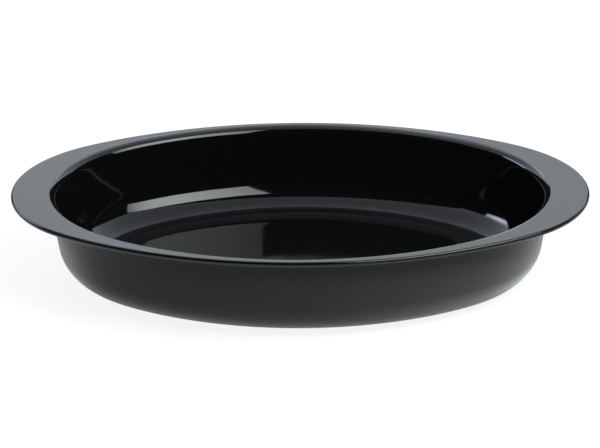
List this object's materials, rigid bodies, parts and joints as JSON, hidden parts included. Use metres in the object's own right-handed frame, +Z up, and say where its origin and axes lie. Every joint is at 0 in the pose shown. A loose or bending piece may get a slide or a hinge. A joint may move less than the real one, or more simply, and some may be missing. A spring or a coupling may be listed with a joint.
{
  "type": "oval baking dish",
  "caption": "Large oval stoneware baking dish with a drafted wall, a flat rim that widens into grips at both ends, satin black outside and glossy black inside.",
  "frame": {"origin": "middle of the foot, on the surface that the dish stands on", "axes": "+X along the dish's length towards one grip, +Y across it, +Z up out of the bowl"},
  "size_m": [0.4, 0.26, 0.06],
  "materials": {
    "glaze": "black glaze, satin on the rim and outside, high gloss inside"
  },
  "bodies": {
    "root": {"baking_dish": "glaze"}
  },
  "joints": []
}
